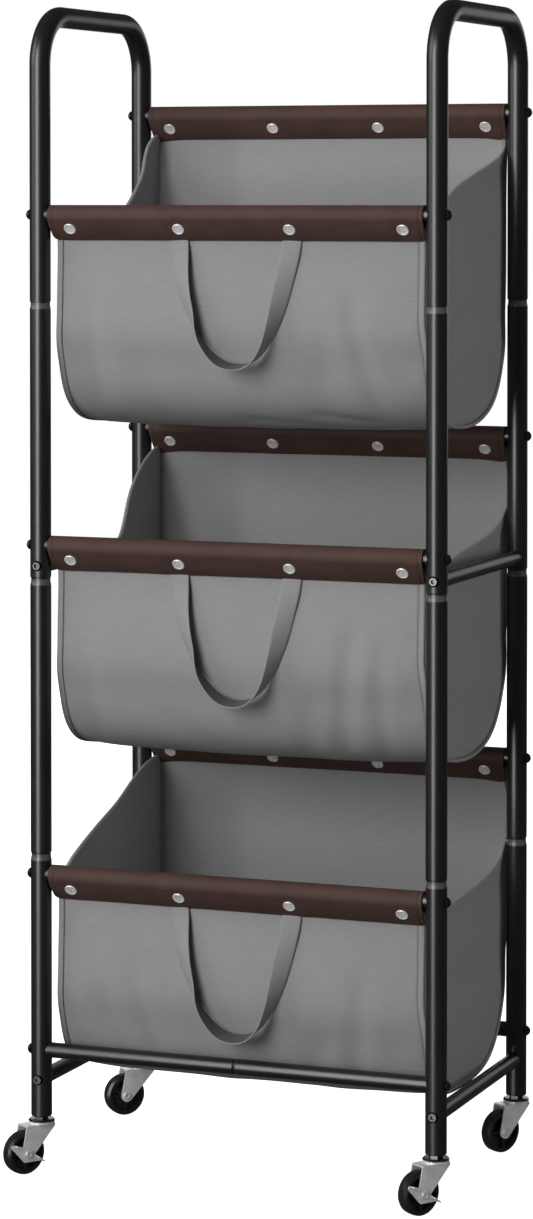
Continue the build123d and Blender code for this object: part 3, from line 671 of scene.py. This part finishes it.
def make_bag(tier):
    """One bag: its strip, its two side panels and all its stitches."""
    grid, thick, uv, seam, s = strip_grid(tier)
    p, f, u = shell(grid, thick, uv)
    strip = make_object(f"bag_{tier}_strip", p, f, MATERIAL["bag_fabric"], u)
    threads = []
    normal = grid_normals(grid)
    facing = 1 if normal[40, 60] @ np.array([0, -1, 0]) > 0 else -1
    # Stitches show only between the sleeves; 200 mm along, the strip is clear of both.
    keep = (seam[:, 1] < -SLEEVE_DROP - 1) | (s > 200)
    keep &= (seam[:, 1] < RISE - SLEEVE_DROP - 1) | (s < 200)
    for sign in (-1, 1):
        column = np.argmin(np.abs(uv[0, :, 0] - sign * (SEAM_X + 1.0)))
        n = normal[keep, column] * facing
        line = grid[keep, column] + n * (thick[keep, column][:, None] / 2 + 0.02)
        threads.append(stitch_line(line, n))
    panels = []
    for side, sign in SIDE_SIGN.items():
        g, th, yz = panel_grid(tier, side)
        p, f, u = shell(g, th, yz)
        panel = make_object(f"bag_{tier}_side_{side}", p, f, MATERIAL["bag_fabric"], u)
        panels.append((panel, yz))
        gn = grid_normals(g)
        gn = gn * (np.sign(gn[:, :, :1]) * sign)
        depth = np.linalg.norm(yz - yz[:, :1], axis=2)
        i = np.nonzero(depth[:, -1] > 10)[0]
        row = np.array([np.interp(HEM_STITCH, depth[k], np.arange(depth.shape[1])) for k in i])
        base = np.floor(row).astype(int)
        part = (row - base)[:, None]
        line = g[i, base] * (1 - part) + g[i, base + 1] * part
        for way in (1, -1):
            n = gn[i, base] * way
            threads.append(stitch_line(line + n * (CLOTH / 2 + 0.1), n))
    for piece in [strip, *[panel for panel, _ in panels]]:
        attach(piece, "frame")
    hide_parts(f"bag_{tier}")
    join_stitches(f"bag_{tier}_stitching", threads, THREAD_GREY)


for bag_tier in TIERS:
    make_bag(bag_tier)

# ---------------------------------------------------------------- sleeves

LEATHER = 1.3       # thickness of the leatherette
SNAP_X = (-182.7, -61.0, 61.0, 182.7)
SNAP_DOWN = 13.6    # from the rail's axis down to the middle of a snap
LIP_BACK = 2.6      # half the gap between the two flaps at their lower edges, outside
BAG_LINE = 10.0     # where the bag hangs, behind the rail's axis
FLAP_BULGE = 2.0    # how far the flaps swell out below the rail
END_STITCH = 4.6    # from a sleeve's end in to its stitches


def sleeve_section(count=96):
    """Mid-line of the wrapped strip in side view, and the distance along it.

    It runs from the front lower edge over the rail to the rear lower edge.
    """
    r = SLEEVE_R - LEATHER / 2
    front = np.array([BAG_LINE - LIP_BACK + LEATHER / 2, -SLEEVE_DROP])
    rear = np.array([BAG_LINE + LIP_BACK - LEATHER / 2, -SLEEVE_DROP])

    def touch(p, way):
        """Angle at which a straight line from a point touches the wrap round the rail."""
        return np.arctan2(p[1], p[0]) + way * np.arccos(r / np.hypot(*p))

    a0, a1 = touch(front, -1), touch(rear, 1)
    while a1 > a0:
        a1 -= 2 * pi
    arc = np.linspace(a0, a1, 60)
    points = [front, *[np.array([r * cos(a), r * sin(a)]) for a in arc], rear]
    line = np.array(points)
    at = lengths(line)
    even = np.linspace(0, at[-1], count)
    return np.stack([np.interp(even, at, line[:, k]) for k in range(2)], axis=1), even


def make_sleeve(tier, row):
    """One leatherette sleeve, folded over its rail, and its stitches."""
    section, s = sleeve_section()
    direction = np.gradient(section, axis=0)
    direction /= np.linalg.norm(direction, axis=1, keepdims=True)
    out = np.stack([-direction[:, 1], direction[:, 0]], axis=1)
    if out[0, 0] > 0:
        out = -out
    near_end = np.linspace(0.93, 1, 16)
    x_share = np.concatenate([-near_end[::-1], np.linspace(-0.93, 0.93, 130)[1:-1], near_end])
    z = section[:, 1]
    corner = np.clip((-z - SLEEVE_DROP + 6) / 6, 0, 1)      # the rounded lower corners
    rounding = 1 - np.sqrt(np.clip(1 - corner**2, 0, 1))
    cut = 1.0 * smooth_step((-z - 8) / 10) + 4.4 * rounding
    half = SLEEVE_HALF - cut
    x = x_share[None, :] * half[:, None]
    seed = 40 + TIERS.index(tier) * 2 + (row == "rear")
    flap = smooth_step((-z - 4) / 10)[:, None]
    front_side = (np.arange(len(s)) < len(s) / 2)[:, None]
    offset = 0.22 * ripple(x * 0.8, s[:, None] * 3 + 0 * x, seed) * flap
    down = np.clip((-z + 2) / (SLEEVE_DROP + 2), 0, 1)
    offset = offset + FLAP_BULGE * np.sin(pi * down**1.4)[:, None]
    for snap_x in SNAP_X:
        dist = np.hypot(x - snap_x, z[:, None] + 13.0)
        offset = offset - 0.75 * np.exp(-(dist / 8.5) ** 2) * front_side
        offset = offset + 0.25 * np.exp(-((dist - 15) / 7) ** 2) * front_side
    offset = offset - 0.8 * np.exp(-((SLEEVE_HALF - END_STITCH - np.abs(x)) / 0.8) ** 2) * 0.45
    rail = RAIL[tier, row]
    y = rail.y + section[:, 0][:, None] + out[:, 0][:, None] * offset
    zz = rail.z + section[:, 1][:, None] + out[:, 1][:, None] * offset
    if row == "rear":       # the flaps of the rear sleeves hang a little lower at their ends
        dip = 2.2 * np.exp(-((np.abs(x) - SLEEVE_HALF + 6) / 16) ** 2) * flap
        zz = zz - dip * smooth_step((-z - 12) / 14)[:, None]
    grid = np.stack([CENTRE_X + x, y, zz], axis=2)
    p, f, u = shell(grid, LEATHER, np.stack([x, s[:, None] + 0 * x], axis=2))
    sleeve = make_object(f"sleeve_{tier}_{row}_wrap", p, f, MATERIAL["leatherette"], u)
    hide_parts(f"sleeve_{tier}_{row}")
    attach(sleeve, "frame")
    normal = grid_normals(grid)
    groups = []
    for sign in (-1, 1):
        column = np.argmin(np.abs(x_share * SLEEVE_HALF - sign * (SLEEVE_HALF - END_STITCH)))
        n = normal[:, column]
        outward = np.stack([0 * out[:, 0], out[:, 0], out[:, 1]], axis=1)
        n = n * np.sign((n * outward).sum(1))[:, None]
        line = grid[:, column] + n * (LEATHER / 2)
        groups.append(stitch_line(line[2:-2], n[2:-2], pitch=3.0, length=2.2, radius=0.3))
    join_stitches(f"sleeve_{tier}_{row}_stitching", groups, THREAD_BROWN)


for sleeve_tier in TIERS:
    for sleeve_row in ("front", "rear"):
        make_sleeve(sleeve_tier, sleeve_row)

# ---------------------------------------------------------------- snaps

# Half outline of a snap's cap: (radius, height above the flap).
SNAP_OUTLINE = [
    (6.4, -0.6), (6.55, 0.2), (6.5, 0.9), (6.2, 1.35), (5.7, 1.55), (5.2, 1.4), (4.7, 1.05),
    (3.6, 0.95), (2.0, 1.0), (0.7, 1.02),
]
SNAP_LIFT = 1.0     # how far its base lies out from the flat flap, which bulges
SNAP_SIDES = 40


def make_snaps():
    """All the snap caps, as one piece."""
    points, faces, uvs = [], [], []
    sides = SNAP_SIDES
    section, _ = sleeve_section()
    front = section[: len(section) // 2]
    i = np.argmin(np.abs(front[:, 1] + SNAP_DOWN))
    along = front[i + 1] - front[i - 1]
    along /= np.linalg.norm(along)
    out = np.array([-along[1], along[0]])
    face = np.array([0, *out])
    up = np.cross(face, [1, 0, 0])
    right = np.array([1.0, 0, 0])
    for rail in RAIL.values():
        for x in SNAP_X:
            origin = np.array([CENTRE_X + x, rail.y + front[i, 0], rail.z + front[i, 1]])
            origin = origin + face * (LEATHER / 2 + SNAP_LIFT)
            start = len(points)
            for radius, height in SNAP_OUTLINE:
                for k in range(sides):
                    a = 2 * pi * k / sides
                    points.append(origin + (right * cos(a) + up * sin(a)) * radius + face * height)
                    uvs.append((radius * cos(a), radius * sin(a)))
            for ring in range(len(SNAP_OUTLINE) - 1):
                for k in range(sides):
                    a, b = start + ring * sides + k, start + ring * sides + (k + 1) % sides
                    faces.append((a, b, b + sides, a + sides))
            faces.append(tuple(start + (len(SNAP_OUTLINE) - 1) * sides + k for k in range(sides)))
            faces.append(tuple(start + k for k in range(sides - 1, -1, -1)))
    snaps = make_object("snap_caps", points, faces, MATERIAL["snap_metal"], uvs)
    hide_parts("snap_studs")
    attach(snaps, "frame")


make_snaps()

# ---------------------------------------------------------------- carry straps

# The strap's two edges, from the front rail's axis: (x, up) of the edge on the bag, then
# (x, up, out) of the edge that stands away from it.
STRAP_EDGES = [
    (-74, -25, -54.5, -25, 0.5), (-72, -42, -52.5, -42, 3.5), (-69, -60, -51, -59, 8),
    (-60.5, -88, -46, -85, 13), (-52.5, -105, -41, -100, 15.5), (-46, -117, -39.5, -115, 18),
    (-38, -128, -36.5, -127, 19), (-28.5, -139, -29.5, -140, 19), (-13.5, -151, -15.5, -156, 18.5),
    (5, -154, 5, -159.5, 18.5), (20.5, -150.5, 22, -154, 19), (34.5, -136.5, 34, -135, 19),
    (47, -115, 39, -114, 17.5), (57, -89, 43, -88, 13.5), (64, -59, 46, -60, 8),
    (68, -42, 48.5, -42, 3.5), (70, -25, 50.5, -25, 0.5),
]
STRAP_BACK = 8.2    # the strap's edge on the bag, behind the rail's axis, at its ends
STRAP_WIDTH = 19.5
STRAP_THICK = 1.4
STRAP_COLUMNS = 9


def make_strap(tier):
    """One carry strap, a looped ribbon whose back is painted a darker grey as painted shade."""
    rows = []
    for x, z, near_x, near_z, out in STRAP_EDGES:
        back = STRAP_BACK - 4.4 * smooth_step(np.array((-z - 30) / 50.0))
        rows.append((x, back, z, near_x, back - out, near_z))
    line = bspline(rows, 150)
    panel, near = line[:, :3], line[:, 3:]
    t = np.linspace(0, 1, STRAP_COLUMNS)[None, :, None]
    grid = panel[:, None, :] * (1 - t) + near[:, None, :] * t
    rail = RAIL[tier, "front"]
    grid = grid + np.array([CENTRE_X, rail.y, rail.z])
    along = lengths(panel)
    across = np.linspace(0, STRAP_WIDTH, STRAP_COLUMNS)
    uv = np.stack([np.broadcast_to(across[None, :], grid.shape[:2]),
                   np.broadcast_to(along[:, None], grid.shape[:2])], axis=2)
    thick = STRAP_THICK * np.ones(grid.shape[:2])
    thick[:, [1, -2]] = STRAP_THICK * 0.8       # a shallow line beside each edge
    p, f, u = shell(grid, thick, uv)
    strap = make_object(f"carry_strap_{tier}_ribbon", p, f, MATERIAL["strap_webbing"], u)
    # The back faces take the darker grey: painted shade.
    strap.data.materials.append(WEBBING_PAINTED_SHADE)
    side_faces = (grid.shape[0] - 1) * (grid.shape[1] - 1)
    painted_shade_faces = np.zeros(len(f), np.int32)
    painted_shade_faces[side_faces : 2 * side_faces] = 1
    strap.data.polygons.foreach_set("material_index", painted_shade_faces)
    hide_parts(f"carry_strap_{tier}")
    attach(strap, "frame")


for strap_tier in TIERS:
    make_strap(strap_tier)

# ---------------------------------------------------------------- camera, light and floor

CAMERA_AT = (1.4166, -3.6318, 1.0189)
CAMERA_TURN = 21.361
CAMERA_DOWN = 1.6433

camera_data = bpy.data.cameras.new("camera")
camera_data.lens = 109.604
camera_data.sensor_width = 36.0
camera_data.sensor_fit = "AUTO"
camera_data.shift_y = -0.25
camera = bpy.data.objects.new("camera", camera_data)
camera.location = CAMERA_AT
camera.rotation_euler = (radians(90 - CAMERA_DOWN), 0, radians(CAMERA_TURN))
bpy.context.scene.collection.objects.link(camera)
bpy.context.scene.camera = camera

middle = (cad_low + cad_high) / 2


def area_light(name, azimuth, elevation, distance, size, power, target=middle):
    """Soft box that faces the object. Azimuth 0 is straight in front, positive to the right.

    Angles are in degrees, sizes in metres and the power in watts.
    """
    a, e = radians(azimuth), radians(elevation)
    data = bpy.data.lights.new(name, "AREA")
    data.shape = "RECTANGLE"
    data.size, data.size_y = size
    data.energy = power
    light = bpy.data.objects.new(name, data)
    light.location = target + Vector((sin(a) * cos(e), -cos(a) * cos(e), sin(e))) * distance
    light.rotation_euler = (target - light.location).to_track_quat("-Z", "Y").to_euler()
    bpy.context.scene.collection.objects.link(light)
    return light


# The key light is in two parts: one lights the diffuse surfaces, the other gives the highlights.
key = area_light("key", -13, 16, 4.0, (1.6, 2.8), 120)
key.visible_glossy = False
gloss = area_light("key_gloss", -13, 10, 3.6, (1.5, 3.7), 120)
gloss.visible_diffuse = False
area_light("side_left", -58, 24, 4.0, (1.8, 2.4), 42)
fill = area_light("fill_right", 92, 4, 4.0, (2.4, 2.4), 36)
fill.visible_glossy = False
area_light("backdrop", 182, 8, 4.0, (4.2, 1.4), 18)
back = area_light("rear", 192, 32, 4.0, (2.6, 2.4), 80)
back.visible_glossy = False
top = area_light("top", 0, 82, 3.0, (1.8, 1.8), 18)
top.visible_glossy = False

# The camera sees plain white; surfaces see a dim surround, a little dimmer in mirror reflections.
world = bpy.data.worlds.new("studio")
bpy.context.scene.world = world
world.use_nodes = True
tree = world.node_tree
tree.nodes.clear()
output = tree.nodes.new("ShaderNodeOutputWorld")
mix = tree.nodes.new("ShaderNodeMixShader")
dim = tree.nodes.new("ShaderNodeMixShader")
mirrored = tree.nodes.new("ShaderNodeBackground")
mirrored.inputs["Strength"].default_value = 0.07
ambient = tree.nodes.new("ShaderNodeBackground")
white = tree.nodes.new("ShaderNodeBackground")
path = tree.nodes.new("ShaderNodeLightPath")
ambient.inputs["Strength"].default_value = 0.08
white.inputs["Strength"].default_value = 1.0
white.inputs["Color"].default_value = (1, 1, 1, 1)
ambient.inputs["Color"].default_value = (1, 1, 1, 1)
tree.links.new(path.outputs["Is Camera Ray"], mix.inputs[0])
tree.links.new(path.outputs["Is Glossy Ray"], dim.inputs[0])
tree.links.new(ambient.outputs[0], dim.inputs[1])
tree.links.new(mirrored.outputs[0], dim.inputs[2])
tree.links.new(dim.outputs[0], mix.inputs[1])
tree.links.new(white.outputs[0], mix.inputs[2])
tree.links.new(mix.outputs[0], output.inputs[0])

floor_look = Nodes("floor_white", Roughness=0.9, Specular_IOR_Level=0.0)
floor_look.shader.inputs["Emission Color"].default_value = (1, 1, 1, 1)
floor_look.shader.inputs["Emission Strength"].default_value = 1.0
floor_tone = floor_look.noise(floor_look.coords(), 2.0)
floor_look.finish(floor_look.ramp(floor_tone, (0.5, 0.5, 0.5, 1), (0.52, 0.52, 0.52, 1)))
FLOOR_HALF = 40.0       # metres
floor_corners = np.array([(-1, -1, 0), (1, -1, 0), (1, 1, 0), (-1, 1, 0)]) * FLOOR_HALF / MM
floor = make_object("floor", floor_corners, [(0, 1, 2, 3)], floor_look.material, smooth=False)
floor.visible_diffuse = False
floor.visible_glossy = False
floor.visible_shadow = False

bpy.context.scene.view_settings.view_transform = "Standard"
bpy.context.scene.view_settings.look = "None"
